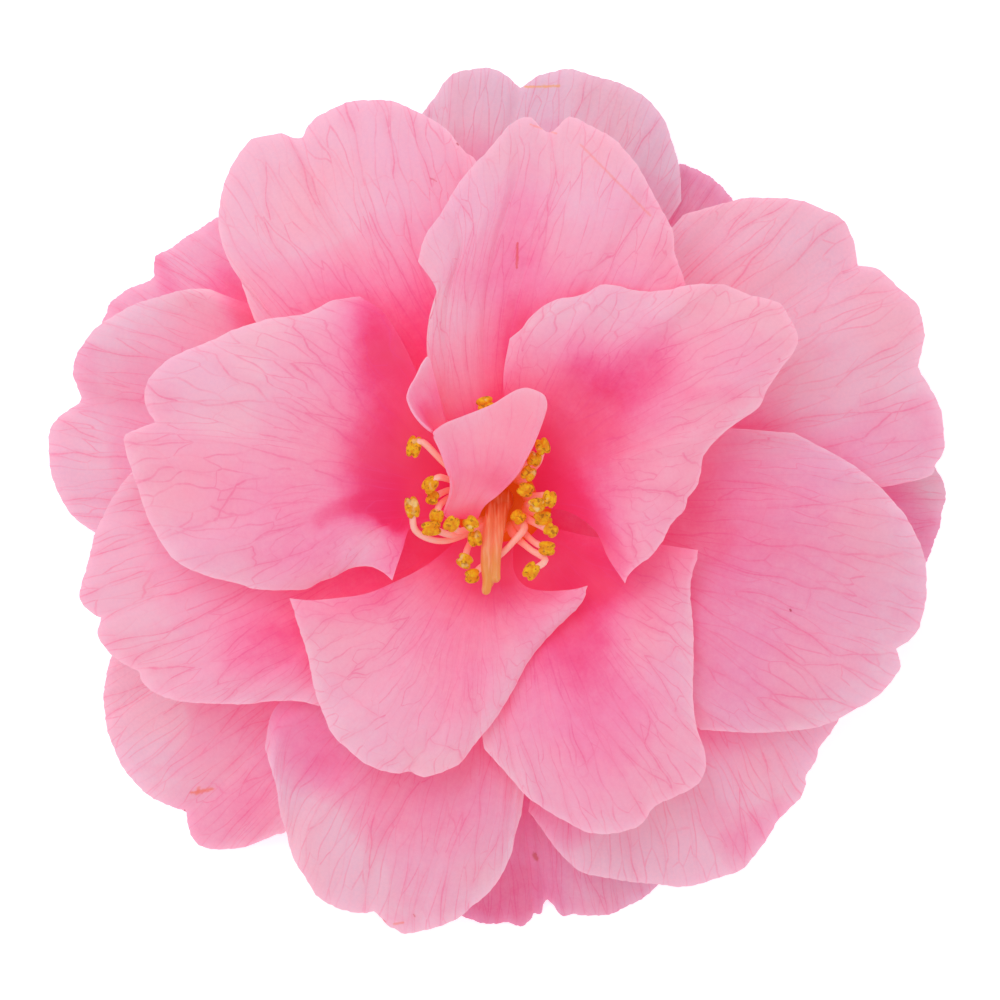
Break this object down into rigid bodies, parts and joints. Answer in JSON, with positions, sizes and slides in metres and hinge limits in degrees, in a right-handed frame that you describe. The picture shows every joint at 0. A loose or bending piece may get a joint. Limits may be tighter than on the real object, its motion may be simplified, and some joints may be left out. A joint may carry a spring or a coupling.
{
  "type": "camellia flower",
  "caption": "Open semi-double camellia blossom with layered waved petals round a cluster of stamens, lying face up on its calyx.",
  "frame": {"origin": "middle of the flat spot under the receptacle, on the flower's axis, where it rests", "axes": "+Z along the flower's axis out of its face, +X to the right and +Y away as the open face is looked down on"},
  "size_m": [0.108, 0.1041, 0.0287],
  "materials": {
    "petal": "soft translucent pink, deeper rose towards the middle, with fine branching veins",
    "filament": "pale pink to cream, smooth",
    "anther": "golden yellow, granular with pollen",
    "pistil": "peach orange, finely ribbed",
    "receptacle": "dull green",
    "sepal": "green-brown, silky, paler at the rim"
  },
  "bodies": {
    "root": {"petal_inner_left": "petal", "petal_inner_right": "petal", "petal_inner_bottom": "petal", "petal_inner_top": "petal", "petal_inner_low_right": "petal", "petal_middle_upper_left": "petal", "petal_middle_lower_left": "petal", "petal_middle_right": "petal", "petal_middle_left": "petal", "petal_middle_bottom": "petal", "petal_middle_upper_right": "petal", "petal_outer_lower_right": "petal", "petal_outer_upper_left": "petal", "petal_outer_lower_left": "petal", "petal_outer_top": "petal", "petal_back_right": "petal", "petal_back_bottom": "petal", "petal_back_upper_right": "petal", "petaloid": "petal", "stamens": "filament", "pistil": "pistil", "receptacle": "receptacle", "sepal_1": "sepal", "sepal_2": "sepal", "sepal_3": "sepal", "sepal_4": "sepal", "sepal_5": "sepal"}
  },
  "joints": []
}
